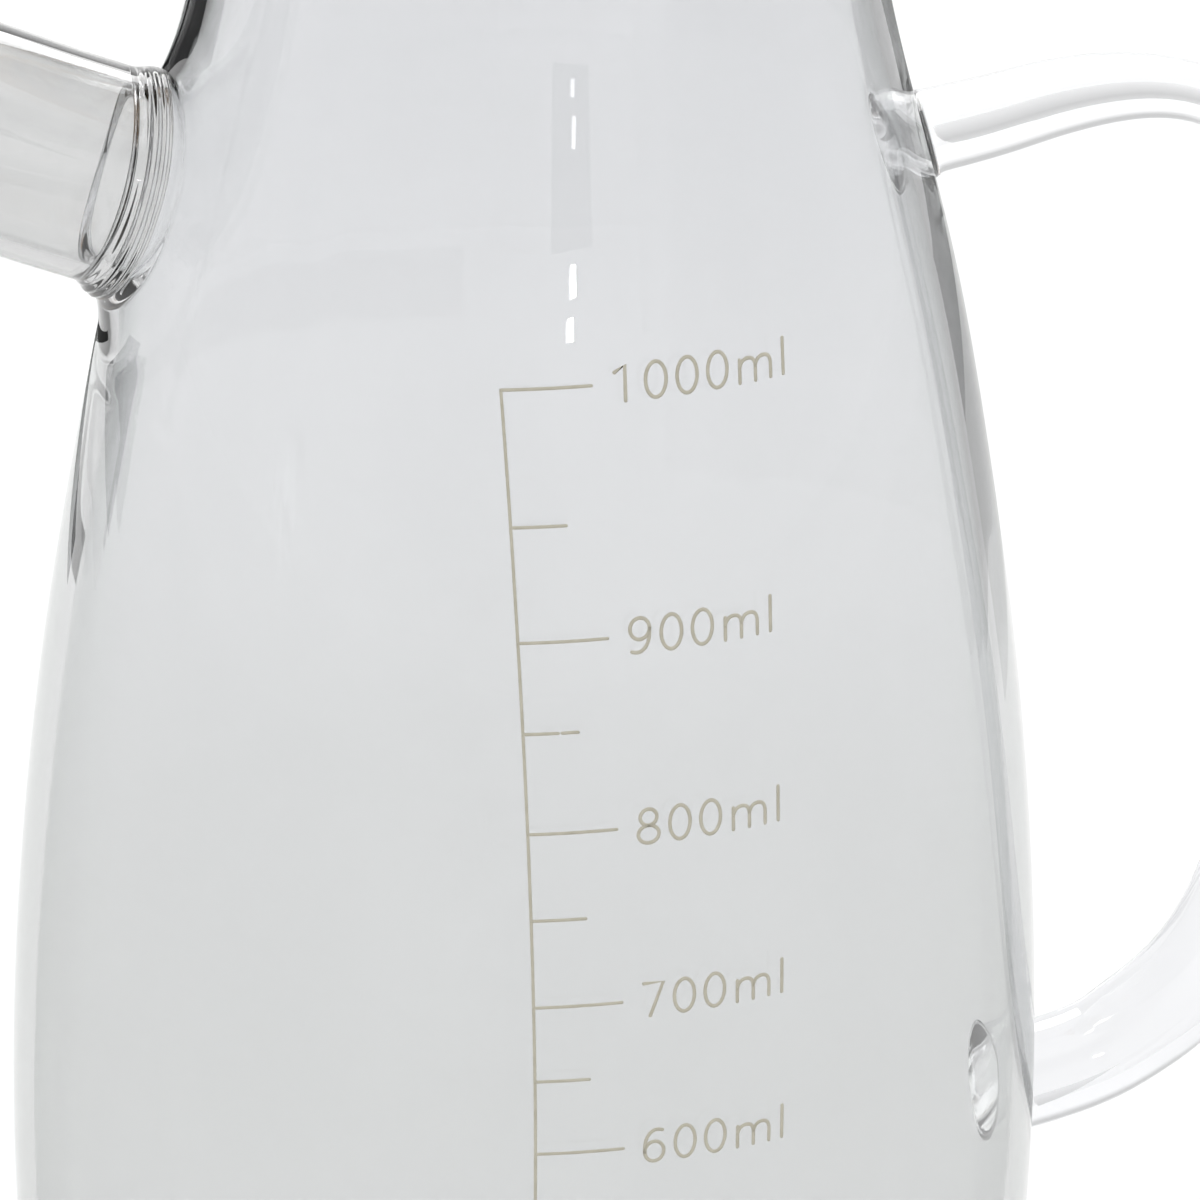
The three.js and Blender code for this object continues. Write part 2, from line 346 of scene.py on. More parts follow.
def block_border(grid, rows, columns):
    """Indices round a block of the vessel's grid, in order."""
    (top, bottom), (left, right) = rows, columns
    cols = lambda a: [c % COLUMNS for c in a]
    border = [grid[top][c] for c in cols(range(left, right))]
    border += [grid[r][right % COLUMNS] for r in range(top, bottom)]
    border += [grid[bottom][c] for c in cols(range(right, left, -1))]
    border += [grid[r][left % COLUMNS] for r in range(bottom, top, -1)]
    return np.array(border)


def start_at_side(border, plane):
    """The border turned so that it runs with rising angle and starts sideways of the limb."""
    angle = np.arctan2(plane[:, 1], plane[:, 0])
    if np.median(np.sin(np.diff(angle))) < 0:
        border, plane, angle = border[::-1], plane[::-1], angle[::-1]
    first = int(np.argmin(np.abs(angle)))
    return np.roll(border, -first), np.roll(plane, -first, axis=0)


spout_line = Line(SPOUT_LINE)
handle_line = Line(HANDLE_LINE)
handle_back = Line(HANDLE_LINE[::-1])
spout_root = Root(spout_line)
handle_top = Root(handle_line)
handle_foot = Root(handle_back)

HANDLE_POINTS = 4 * sum(HANDLE_BLOCK)
spout_angles = np.linspace(0, 2 * math.pi, 4 * sum(SPOUT_BLOCK), endpoint=False)
handle_angles = np.linspace(0, 2 * math.pi, HANDLE_POINTS, endpoint=False)
UNTURNED = np.arange(HANDLE_POINTS)


def spout_gather(angles):
    """Extra radius of the spout's weld: a little at its sides, more on top, most below."""
    even, top, below = SPOUT_GATHER
    down = np.sin(angles)
    return even + top * np.clip(-down, 0, 1) + below * np.clip(down, 0, 1)


def pulled_out(plane):
    """How far the wall is drawn out round the spout, more below it than above."""
    distance = np.hypot(plane[:, 0], plane[:, 1])
    beyond = distance - SPOUT_RADIUS - spout_gather(np.arctan2(plane[:, 1], plane[:, 0]))
    lift = PULLED_OUT[0] + PULLED_OUT[1] * plane[:, 1] / distance
    return lift * np.clip(1 - beyond / PULLED_WIDTH, 0, 1) ** 2


def rod_weld(root):
    """Radius of the rod's welded disc."""
    return root.line.radius(root.start) + HANDLE_WELD[0]


def add_disc(build, edge, root, order, count=4):
    """A welded disc that follows the wall, from its edge ring inward."""
    for k in range(1, count):
        ring = root.on_wall(circle(rod_weld(root) * (1 - k / count), handle_angles))
        ring = build.add(ring[order])
        build.band(edge, ring, 1)
        edge = ring
    build.fan(edge, build.add(root.on_wall(np.zeros((1, 2))))[0], 1)


def wall_ripple(azimuth, height):
    """Small unevenness of the blown wall, drawn out upward."""
    total = np.zeros_like(azimuth)
    for share, turns, rise, start in WALL_WAVES:
        total = total + share * np.sin(turns * azimuth + rise * height + start)
    return WAVE_HEIGHT * total


# The presses behind the handle's welds: size, depth, and height above the rod's middle.
PRESS_MARKS = [(handle_top, 0.0048, 0.0005, 0.0), (handle_foot, 0.0024, 0.0007, 0.0014)]


def press_marks(points):
    """How far the wall is pressed inward behind the handle's welds."""
    depth = np.zeros(len(points))
    for root, size, deep, high in PRESS_MARKS:
        side, up = root.plane(points).T
        up = up - high
        lean = 0.25 * np.sin(600 * side + 1.0) * np.sin(500 * up)
        near = np.exp(-((side / size) ** 2 + (up / (1.25 * size)) ** 2))
        depth += np.where(points[:, 0] > 0, deep * near * (1 + lean), 0)
    return depth


def turned_ring(radius, height, sides=COLUMNS):
    """A ring of points about the vessel's axis."""
    azimuth = np.arange(sides) * 2 * math.pi / sides
    x, y = radius * np.cos(azimuth), radius * np.sin(azimuth)
    return np.stack([x, y, np.full(sides, height)], axis=1)


def vessel_mesh(materials):
    """The vessel's skin outside and inside, with the spout's hole and the handle's welds let in."""
    build = Builder()
    outside = [*foot[1:], *flank]
    first_flank = len(foot) - 1
    inside = list(flank_inside[flank_inside[:, 1] > FOOT_INSIDE[0][1] + 0.002][::-1])
    floor = list(resample(natural_spline([inside[-1], *FOOT_INSIDE], 400), FLOOR_STEP)[1:-1])
    grid = [build.add(turned_ring(*place)) for place in [*outside, *rim]]
    first_inside = len(grid)
    for radius, height in [*inside, *floor]:
        row = turned_ring(radius, height)
        azimuth = np.arctan2(row[:, 1], row[:, 0])
        fade = smoothstep(height, *WAVE_FROM) * (1 - smoothstep(height, *WAVE_TO))
        inward = fade * wall_ripple(azimuth, height) + press_marks(row)
        row[:, :2] *= (1 - inward / radius)[:, None]
        grid.append(build.add(row))
    bottom = build.add([(0, 0, foot[0][1])])[0]
    well = build.add([(0, 0, FOOT_INSIDE[-1][1])])[0]

    opened = set()

    def open_block(rows, columns):
        opened.update((r, c % COLUMNS) for r in range(*rows) for c in range(*columns))
        return rows, columns

    def block_at(root, block, column):
        """Leaves out a block of the outer skin. Returns its rows and columns."""
        wide, tall = block
        row = first_flank + int(np.argmin(np.abs(flank[:, 1] - root.origin[2])))
        return open_block((row - tall, row + tall), (column - wide, column + wide))

    spout_block = block_at(spout_root, SPOUT_BLOCK, COLUMNS // 2)
    rod_blocks = [(root, block_at(root, HANDLE_BLOCK, 0)) for root in (handle_top, handle_foot)]
    # The inner skin's rows run the other way.
    mirror = first_inside + len(flank) - 1 + first_flank
    (upper, lower), spout_columns = spout_block
    inner_block = open_block((mirror - lower, mirror - upper), spout_columns)

    for r in range(len(grid) - 1):
        for c in range(COLUMNS):
            if (r, c) not in opened:
                d = (c + 1) % COLUMNS
                build.face((grid[r][c], grid[r][d], grid[r + 1][d], grid[r + 1][c]))
    build.fan(grid[0], bottom)
    build.fan(grid[-1], well)

    def patch(root, block, circle_radius, angles, radius_at, count, lift=None):
        """Fills a block with rings from a circle to its border. Returns the circle's ring."""
        border = block_border(grid, *block)
        points = np.array([build.points[i] for i in border])
        border, plane = start_at_side(border, root.plane(points))
        ring = circle(circle_radius, angles)
        rings = []
        for share in np.linspace(0, 1, count + 1)[:-1] ** 1.25:
            flat = (1 - share) * ring + share * plane
            out = root.landing(flat, radius_at)
            rings.append(root.point(flat, out + lift(flat) if lift else out))
        made = build.rings(rings)
        build.band(made[-1], border)
        return made[0]

    bead = SPOUT_RADIUS + spout_gather(spout_angles)
    weld = patch(spout_root, spout_block, bead, spout_angles, outer_radius, 22, pulled_out)
    funnel = SPOUT_HOLE + SPOUT_FUNNEL
    hole = [patch(spout_root, inner_block, funnel, spout_angles, inner_radius, 14, pulled_out)]
    for a in np.radians(np.linspace(0, 90, 19)[1:]):
        plane = circle(SPOUT_HOLE + SPOUT_FUNNEL * (1 - math.sin(a)), spout_angles)
        low = spout_root.landing(plane, inner_radius) + pulled_out(plane)
        high = spout_root.landing(plane, outer_radius)
        out = low + (high - low) * (1 - math.cos(a)) ** FUNNEL_POWER
        hole.append(build.add(spout_root.point(plane, out)))
    for a, b in zip(hole, hole[1:]):
        build.band(a, b)
    build.band(hole[-1], weld, 1)

    for root, block in rod_blocks:
        edge = patch(root, block, rod_weld(root), handle_angles, outer_radius, 8)
        add_disc(build, edge, root, UNTURNED)
    return build.mesh("glass_body", materials)


def weld_ripple(distance, angles):
    """Fine rings left by the torch round the spout's weld, deepest on its front."""
    reach = smoothstep(distance, 0.0, 0.0003) * (1 - smoothstep(distance, 0.0017, RIPPLE_REACH))
    front = smoothstep(-np.cos(angles), -0.25, 0.3)
    phase = 2 * math.pi * distance / RIPPLE_PITCH
    turn = phase + 0.9 * np.sin(angles + 0.6) + 0.5 * np.sin(3 * angles)
    slow = phase / 1.9 + 1.1 * np.cos(angles - 0.4)
    return RIPPLE_HEIGHT * front * reach * (0.7 * np.sin(turn) + 0.45 * np.sin(slow))


def limb_ring(root, distance, radius, angles, lift=0.0):
    """A ring of a limb at a distance out from the wall, following the wall's shape close to it."""
    plane = circle(radius, angles)
    near = root.point(plane, root.landing(plane, outer_radius) + distance + lift)
    far = root.line.ring(root.start + distance, radius, angles)
    share = smoothstep(distance, 0.001, 0.014)
    return (1 - share) * near + share * far


def spout_radii(distance, length):
    """The spout's radii outside and inside at a distance from the wall."""
    drawn = smoothstep(distance, SPOUT_STRAIGHT, length)
    outer = SPOUT_RADIUS + (SPOUT_TIP_RADIUS - SPOUT_RADIUS) * drawn
    lip = LIP_FLARE * np.exp(-(((length - distance) / LIP_LENGTH) ** 2))
    if distance < THROAT_AT:
        bore = SPOUT_HOLE + (SPOUT_THROAT - SPOUT_HOLE) * smoothstep(distance, 0.0, THROAT_AT)
    else:
        opened = smoothstep(distance, THROAT_AT, THROAT_AT + 2 * THROAT_LIP)
        bore = SPOUT_THROAT + (outer - SPOUT_WALL - SPOUT_THROAT) * opened
    return outer + lip, bore + lip


def spout_mesh(materials):
    """The hollow spout, from its welded ring to its rounded tip and back down its bore."""
    build = Builder()
    length = spout_line.length - spout_root.start
    fine = np.arange(0, RIPPLE_REACH, FINE_STEP)
    tube = [*fine, *np.arange(RIPPLE_REACH, length - 0.0008, TUBE_STEP)]
    bead = spout_gather(spout_angles)
    pulled = pulled_out(circle(SPOUT_RADIUS + bead, spout_angles))
    outer = []
    for distance in tube:
        gather = bead * (1 - smoothstep(distance, 0.0005, RIPPLE_REACH))
        radius = spout_radii(distance, length)[0] + gather + weld_ripple(distance, spout_angles)
        lift = pulled * (1 - smoothstep(distance, 0.0, SPOUT_STRAIGHT))
        outer.append(limb_ring(spout_root, distance, radius, spout_angles, lift))
    tip_outer, tip_inner = spout_radii(length, length)
    half = (tip_outer - tip_inner) / 2
    for a in np.radians(np.linspace(0, 180, 9)):
        radius = (tip_outer + tip_inner) / 2 + half * math.cos(a)
        distance = length - half + half * math.sin(a)
        outer.append(limb_ring(spout_root, distance, radius, spout_angles))
    edge = THROAT_AT + 3 * THROAT_LIP
    fine = np.arange(0, edge, FINE_STEP)
    bore = [*fine, *np.arange(edge, length - 0.0009, TUBE_STEP)][::-1]
    inner = [limb_ring(spout_root, d, spout_radii(d, length)[1], spout_angles) for d in bore]
    made = build.rings([*outer, *inner])
    build.band(made[-1], made[0], 1)
    return build.mesh("spout", materials)


def handle_mesh(materials):
    """The solid rod, made from each weld to its middle, with a welded disc at both ends."""
    build = Builder()
    total = handle_line.length - handle_top.start - handle_foot.start
    wide, tall = HANDLE_WELD
    angle = np.linspace(0, math.pi / 2, 9)
    extra, out = wide * (1 - np.sin(angle)), tall * (1 - np.cos(angle))
    stations = np.arange(tall + 0.0005, total / 2, HANDLE_STEP)

    def end(root):
        places = [(d, root.line.radius(root.start) + add) for add, d in zip(extra, out)]
        places += [(d, root.line.radius(root.start + d)) for d in stations]
        return [limb_ring(root, *place, handle_angles) for place in places]

    top = end(handle_top)
    flip = -UNTURNED % HANDLE_POINTS
    low = [ring[flip] for ring in end(handle_foot)]
    made = build.rings([*top, *low[::-1]])
    add_disc(build, made[0], handle_top, UNTURNED)
    add_disc(build, made[-1], handle_foot, flip)
    return build.mesh("handle", materials)


# Printed scale, in metres on the wall: heights of the marks from 1000 ml down by 50 ml.
MARKS = [
    0.1604, 0.1488, 0.1389, 0.131, 0.1222, 0.11445, 0.10655, 0.0997, 0.0929, 0.08585,
    0.07886, 0.07189, 0.0649, 0.05785, 0.05069, 0.04341, 0.036, 0.02847, 0.02084,
]
WORN_MARK = 3
FULL_SCALE = 1000
SCALE_STEP = 50
LONG_TICK = 0.0078
SHORT_TICK = 0.0048
LINE_WIDTH = 0.00028
GLYPH_HEIGHT = 0.003
GLYPH_STROKE = 0.00033
GLYPH_ADVANCE = 0.95
LABEL_GAP = 0.0019
PRINT_STEP = 0.0012
# The enamel's under side and top, from the glass's skin.
PRINT_LIFT = (-0.00001, 0.00002)


def curve(*stops, count=14):
    """A smooth curve through the stops, as a list of points."""
    return [tuple(p) for p in natural_spline(stops, count)]


def oval(x, y, wide, tall, count=28):
    turn = np.radians(np.linspace(0, 360, count))
    return [(x + wide * math.cos(a), y + tall * math.sin(a)) for a in turn]


NINE_TAIL = curve((0.6, 0.7), (0.59, 0.45), (0.48, 0.15), (0.27, 0.01), (0.07, 0.04))
M_ARCH = curve((0, 0.42), (0.09, 0.59), (0.27, 0.66), (0.45, 0.6), (0.52, 0.42))
# Strokes of each glyph, in a box one unit high.
GLYPHS = {
    "0": [oval(0.31, 0.5, 0.31, 0.5)],
    "1": [[(0.04, 0.81), (0.35, 1), (0.35, 0)]],
    "2": [curve((0.05, 0.83), (0.31, 1), (0.56, 0.74), (0.4, 0.4), (0.04, 0)) + [(0.62, 0)]],
    "3": [
        curve((0.06, 0.94), (0.3, 1), (0.54, 0.76), (0.38, 0.54), (0.2, 0.53)),
        curve((0.38, 0.54), (0.6, 0.27), (0.32, 0), (0.04, 0.07)),
    ],
    "4": [[(0.47, 0), (0.47, 1), (0, 0.29), (0.65, 0.29)]],
    "5": [
        [(0.56, 1), (0.15, 1), (0.1, 0.56)],
        curve((0.1, 0.56), (0.34, 0.62), (0.6, 0.31), (0.34, 0), (0.05, 0.06)),
    ],
    "7": [[(0.02, 1), (0.61, 1), (0.22, 0)]],
    "8": [oval(0.31, 0.76, 0.25, 0.24), oval(0.31, 0.26, 0.31, 0.26)],
    "9": [oval(0.31, 0.69, 0.29, 0.31), NINE_TAIL],
    "m": [
        [(0, 0), (0, 0.64)],
        M_ARCH + [(0.52, 0)],
        [(x + 0.52, y) for x, y in M_ARCH] + [(1.04, 0)],
    ],
    "l": [[(0, 0), (0, 1)]],
}
GLYPHS["6"] = [[(0.62 - x, 1 - y) for x, y in stroke] for stroke in GLYPHS["9"]]
# Where the m starts after the last digit, and the l after the m.
UNIT_START = 1.03
L_START = 1.48
# The scale's upright: its place left of the front, and how far it drifts left at its top.
SCALE_LEFT = -0.0085
SCALE_DRIFT = 0.002
# Rise of the print per distance to the right, at the 600 ml mark and at the 1000 ml mark.
PRINT_LEAN = (0.036, 0.054)
FIRST_SEEN = 8


def scale_left(height):
    """Where the scale's upright stands at a height. It leans a little as the wall narrows."""
    share = max(0.0, (height - MARKS[FIRST_SEEN]) / (MARKS[0] - MARKS[FIRST_SEEN]))
    return SCALE_LEFT - SCALE_DRIFT * share**1.6


def print_lean(height):
    return np.interp(height, [MARKS[FIRST_SEEN], MARKS[0]], PRINT_LEAN)


def on_glass(point, lift):
    """A place on the vessel's skin from (distance round from the front, height)."""
    across, height = point
    radius = outer_radius(height) + lift
    azimuth = across / outer_radius(height)
    return (radius * math.sin(azimuth), -radius * math.cos(azimuth), height)


def outline_sides(points, width):
    """Left and right edges of a stroke with rounded ends."""
    points = np.array(points, float)
    side = sideways_of(points)
    along = np.stack([side[:, 1], -side[:, 0]], axis=1)
    closed = np.linalg.norm(points[0] - points[-1]) < 1e-7
    if closed:
        side[0] = side[-1] = (side[0] + side[-1]) / np.linalg.norm(side[0] + side[-1])
        return points + side * width / 2, points - side * width / 2, True
    turn = np.radians([90, 60, 30])
    wide = np.concatenate([np.cos(turn), np.ones(len(points)), np.cos(turn)[::-1]])[:, None]
    reach = np.concatenate([-np.sin(turn), np.zeros(len(points)), np.sin(turn)[::-1]])[:, None]

    def with_caps(rows):
        return np.concatenate([rows[:1].repeat(3, 0), rows, rows[-1:].repeat(3, 0)])

    centre = with_caps(points) + with_caps(along) * (0.5 * width * reach)
    side = with_caps(side) * (np.maximum(wide, 0.02) * width / 2)
    return centre + side, centre - side, False


def add_stroke(build, points, width):
    """A thin closed strip of enamel along a stroke."""
    left, right, closed = outline_sides(points, width)
    low, high = PRINT_LIFT
    rows = [(left, high), (right, high), (right, low), (left, low)]
    rings = [build.add([on_glass(p, lift) for p in edge]) for edge, lift in rows]
    count = len(left)
    for i in range(count - 1):
        for a, b in zip(rings, rings[1:] + rings[:1]):
            build.face((a[i], a[i + 1], b[i + 1], b[i]))
    if not closed:
        build.face([ring[0] for ring in rings])
        build.face([ring[-1] for ring in rings][::-1])


def densify(points, step):
    """Points no further apart than a step, with the corners kept."""
    made = [points[0]]
    for a, b in zip(points, points[1:]):
        count = max(1, math.ceil(math.dist(a, b) / step))
        a, b = np.array(a), np.array(b)
        made += [tuple(a + (b - a) * k / count) for k in range(1, count + 1)]
    return made


def add_text(build, text, left, middle, lean):
    """A label such as 900ml, centred on a height and rising along its lean."""
    digits = text[:-2]
    places = [(digit, k * GLYPH_ADVANCE) for k, digit in enumerate(digits)]
    start = (len(digits) - 1) * GLYPH_ADVANCE + UNIT_START
    places += [("m", start), ("l", start + L_START)]
    for glyph, offset in places:
        for stroke in GLYPHS[glyph]:
            mapped = []
            for x, y in stroke:
                across = left + GLYPH_HEIGHT * (x + offset)
                rise = lean * (across - left + LABEL_GAP + LONG_TICK)
                mapped.append((across, middle + GLYPH_HEIGHT * (y - 0.5) + rise))
            add_stroke(build, mapped, GLYPH_STROKE)


def scale_mesh(material):
    """The printed scale: an upright, a tick at each mark and a label at each full hundred."""
    build = Builder()
    upright = [(scale_left(z), z) for z in np.linspace(MARKS[-1], MARKS[0], 60)]
    upright = densify(upright, PRINT_STEP)
    add_stroke(build, upright, LINE_WIDTH)
    for k, height in enumerate(MARKS):
        left, lean = scale_left(height), print_lean(height)
        length = SHORT_TICK if k % 2 else LONG_TICK
        spans = [(0.0, length)]
        if k == WORN_MARK:
            spans = [(0.0, 0.64 * length), (0.71 * length, length)]
        for start, end in spans:
            ends = [(left + d, height + lean * d) for d in (start, end)]
            add_stroke(build, densify(ends, PRINT_STEP), LINE_WIDTH)
        if k % 2 == 0:
            label = f"{FULL_SCALE - k * SCALE_STEP}ml"
            add_text(build, label, left + LONG_TICK + LABEL_GAP, height, lean)
    return build.mesh("scale_print", [material])


# Lid: turned pieces, each an outline of (radius, height) from the axis round to the axis.
LID_SIDES = 128
LID_STEP = 0.0012
SEAL_STEP = 0.0006
DISC_EDGE = 0.002
SOFT_EDGE = 0.0006
# The plug's groove: how far above the plug's bottom, how tall, and its radius.
PLUG_GROOVE = (0.0045, 0.0050, 0.0236)
SEAL_WEB = 0.026
SEAL_LIP = 0.00055
SEAL_TIP = 0.0005


def rounded(corners, soft, count=6):
    """An outline whose corners, given with their own radius or the soft one, are rounded."""
    made = [corners[0][:2]]
    for before, corner, after in zip(corners, corners[1:], corners[2:]):
        radius = corner[2] if len(corner) > 2 else soft
        here = np.array(corner[:2])
        to_a = np.array(before[:2]) - here
        to_b = np.array(after[:2]) - here
        long_a, long_b = np.linalg.norm(to_a), np.linalg.norm(to_b)
        reach = min(radius, 0.45 * long_a, 0.45 * long_b)
        a, b = here + to_a / long_a * reach, here + to_b / long_b * reach
        for t in np.linspace(0, 1, count):
            made.append(tuple((1 - t) ** 2 * a + 2 * t * (1 - t) * here + t * t * b))
    made.append(corners[-1][:2])
    return made


def turned_mesh(name, outline, material, step=LID_STEP, closed=False):
    """A closed mesh turned about the vessel's axis.

    The outline runs from the axis to the axis, or, when closed, round and back to its start.
    """
    build = Builder()
    loop = [*outline, outline[0]] if closed else outline
    points = densify(loop, step)[:-1]
    if not closed:
        points = points[1:]
    made = build.rings([turned_ring(*place, LID_SIDES) for place in points])
    if closed:
        build.band(made[-1], made[0])
    else:
        build.fan(made[0], build.add([(0, 0, outline[0][1])])[0])
        build.fan(made[-1], build.add([(0, 0, outline[-1][1])])[0])
    return build.mesh(name, [material])


def node_size(node):
    """Lowest and highest point and radius of a CAD node about the vessel's axis."""
    low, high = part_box(node)
    return low.z, high.z, high.x


def disc_outline(low, high, radius):
    return rounded([(0, low), (radius, low), (radius, high), (0, high)], DISC_EDGE, 9)


def plug_outline(low, high, radius):
    above, tall, deep = PLUG_GROOVE
    start, end = low + above, low + above + tall
    corners = [
        (0, low), (radius, low, 0.0012), (radius, start, 0.0003), (deep, start, 0.0002),
        (deep, end, 0.0002), (radius, end, 0.0003), (radius, high, 0.0004), (0, high),
    ]
    return rounded(corners, SOFT_EDGE)


def seal_outline(low, high, radius):
    bore = PLUG_GROOVE[2] + 0.0003
    shoulder = SEAL_WEB - 0.0006
    outline = [(bore, low), (shoulder, low)]
    for middle in (low + 1.5 * SEAL_LIP, high - 1.5 * SEAL_LIP):
        tip = arc((radius - SEAL_TIP, middle), SEAL_TIP, -80, 80, 9)
        half = 1.4 * SEAL_LIP
        outline += [(SEAL_WEB, middle - half), *map(tuple, tip), (SEAL_WEB, middle + half)]
    return [*outline, (shoulder, high), (bore, high)]


def knob_outline(low, high, ball):
    round_top = [tuple(p) for p in arc((0.0, high - ball), ball, -50, 90, 60)]
    neck = curve(
        (0.007, low + 0.0006), (0.0062, low + 0.0018), (0.0066, low + 0.0032), round_top[0],
        count=16,
    )
    foot = [(0, low), (0.0062, low), (0.0068, low + 0.0002)]
    return [*foot, *neck[:-1], *round_top[:-1], (0, high)]


def fill_ramp(ramp, stops):
    """Gives a colour ramp its stops of (position, colour or grey)."""
    while len(ramp.elements) < len(stops):
        ramp.elements.new(0.5)
    for element, (position, tone) in zip(ramp.elements, stops):
        element.position = position
        element.color = (*tone, 1) if isinstance(tone, tuple) else (tone, tone, tone, 1)


class Shader:
    """Short ways to wire a material's nodes."""

    def __init__(self, name):
        self.material = bpy.data.materials.new(name)
        self.material.use_nodes = True
        self.tree = self.material.node_tree
        self.principled = self.tree.nodes["Principled BSDF"]

    def fill(self, node, inputs):
        """Gives a node's inputs their numbers and colours, or links them to other outputs."""
        for key, value in inputs.items():
            if isinstance(value, bpy.types.NodeSocket):
                self.tree.links.new(value, node.inputs[key])
            else:
                node.inputs[key].default_value = value

    def node(self, kind, inputs, **settings):
        made = self.tree.nodes.new(kind)
        for key, value in settings.items():
            setattr(made, key, value)
        self.fill(made, inputs)
        return made

    def surface(self, inputs):
        """Gives the Principled shader its inputs."""
        self.fill(self.principled, inputs)

    def place(self, scale=(1, 1, 1), turn=(0, 0, 0)):
        """Object coordinates in metres, stretched by a scale or turned."""
        source = self.node("ShaderNodeTexCoord", {}).outputs["Object"]
        inputs = {"Vector": source, "Scale": scale, "Rotation": turn}
        return self.node("ShaderNodeMapping", inputs).outputs["Vector"]

    def split(self, vector):
        return self.node("ShaderNodeSeparateXYZ", {"Vector": vector}).outputs

    def math(self, kind, a, b=0.0):
        return self.node("ShaderNodeMath", {0: a, 1: b}, operation=kind).outputs[0]

    def noise(self, vector, scale, detail=2.0, roughness=0.5):
        inputs = {"Vector": vector, "Scale": scale, "Detail": detail, "Roughness": roughness}
        return self.node("ShaderNodeTexNoise", inputs).outputs["Fac"]

    def ramp(self, factor, stops):
        made = self.node("ShaderNodeValToRGB", {"Fac": factor})
        fill_ramp(made.color_ramp, stops)
        return made.outputs["Color"]

    def multiply(self, a, b):
        """The product of two colours."""
        inputs = {0: 1.0, 6: a, 7: b}
        mix = self.node("ShaderNodeMix", inputs, data_type="RGBA", blend_type="MULTIPLY")
        return mix.outputs[2]

    def bump(self, height, strength, distance):
        inputs = {"Height": height, "Strength": strength, "Distance": distance}
        self.surface({"Normal": self.node("ShaderNodeBump", inputs).outputs["Normal"]})


# Painted shading in the glass's colour: grey of painted shade by height, lighter at the foot as
# painted light, as (height in metres, colour); and painted shade at the edges, as (how far the skin
# turns away, colour).
BODY_PAINTED_SHADING = [
    (0.0, (0.93, 0.935, 0.94)), (0.012, (0.93, 0.935, 0.94)), (0.03, (0.81, 0.817, 0.817)),
    (0.095, (0.79, 0.797, 0.797)), (0.14, (0.84, 0.846, 0.854)), (0.172, (0.823, 0.829, 0.841)),
]
# The spout's even grey is painted shade.
SPOUT_PAINTED_SHADE = [(0.16, (0.8, 0.803, 0.803)), (0.2, (0.8, 0.803, 0.803))]
# The rod's grey darkens towards its lower end as painted shade.
ROD_PAINTED_SHADE = [(0.07, (0.86, 0.865, 0.88)), (0.11, (0.9, 0.905, 0.92)), (0.15, (0.955, 0.96, 0.968))]
# Painted shade at the edges: the colour darkens as the skin turns away.
BODY_EDGE_PAINTED_SHADE = [
    (0.5, (1, 1, 1)), (0.66, (0.96, 0.965, 0.96)), (0.76, (0.8, 0.815, 0.805)),
    (0.86, (0.62, 0.65, 0.63)), (1.0, (0.4, 0.445, 0.415)),
]
SPOUT_EDGE_PAINTED_SHADE = [(0.5, (1, 1, 1)), (0.8, (0.94, 0.95, 0.94)), (1.0, (0.78, 0.8, 0.785))]
ROD_EDGE_PAINTED_SHADE = [
    (0.55, (1, 1, 1)), (0.8, (0.92, 0.925, 0.935)), (0.93, (0.8, 0.805, 0.82)),
    (1.0, (0.62, 0.63, 0.65)),
]
GLASS_IOR = 1.474


def glass_material(name, painted_shading, edge_painted_shade):
    """Clear glass with painted shading in its colour: a faint grey of painted shade and painted
    light that changes with height, and painted shade that deepens at its edges.
    """
    shader = Shader(name)
    height = shader.split(shader.place((1, 1, 1 / RIM_TOP)))["Z"]
    painted_shading_and_tone = shader.ramp(height, [(z / RIM_TOP, colour) for z, colour in painted_shading])
    soft = shader.noise(shader.place((1, 1, 0.35)), 60, 3)
    painted_shading_and_tone = shader.multiply(painted_shading_and_tone, shader.ramp(soft, [(0.3, 0.985), (0.7, 1.0)]))
    # Painted shade: the glass's colour darkens where its skin turns away from the view.
    facing = shader.node("ShaderNodeLayerWeight", {"Blend": 0.5}).outputs["Facing"]
    smear = shader.noise(shader.place((1, 1, 0.4)), 22, 3)
    shader.surface({
        "Base Color": shader.multiply(painted_shading_and_tone, shader.ramp(facing, edge_painted_shade)),
        "Roughness": shader.ramp(smear, [(0.5, 0.0), (0.8, 0.004)]),
        "Transmission Weight": 1.0,
        "IOR": GLASS_IOR,
    })
    shader.bump(shader.noise(shader.place((1, 1, 0.18)), 38, 1), 0.12, 0.001)
    return shader.material


def weld_material():
    """Where two glass pieces are fused there is no surface, so light passes straight through."""
    shader = Shader("fused_joint")
    shader.tree.nodes.remove(shader.principled)
    clear = shader.node("ShaderNodeBsdfTransparent", {})
    shader.fill(shader.tree.nodes["Material Output"], {"Surface": clear.outputs["BSDF"]})
    return shader.material


def print_material():
    """Fired tan enamel, a little uneven."""
    shader = Shader("printed_enamel")
    worn = shader.noise(shader.place(), 900, 4, 0.7)
    tone = shader.ramp(worn, [(0.35, (0.40, 0.375, 0.30)), (0.65, (0.47, 0.445, 0.365))])
    shader.surface({"Base Color": tone, "Roughness": 0.55})
    shader.bump(worn, 0.2, 0.00002)
    return shader.material


QUARTER = math.pi / 2

# Bamboo: how wide a strip is, and how far apart its knuckles are.
STRIP = 0.0062
KNUCKLE = 0.055
STRIP_TONES = [
    (0.0, (0.50, 0.285, 0.115)), (0.35, (0.60, 0.36, 0.155)), (0.7, (0.68, 0.43, 0.2)),
    (1.0, (0.56, 0.33, 0.14)),
]


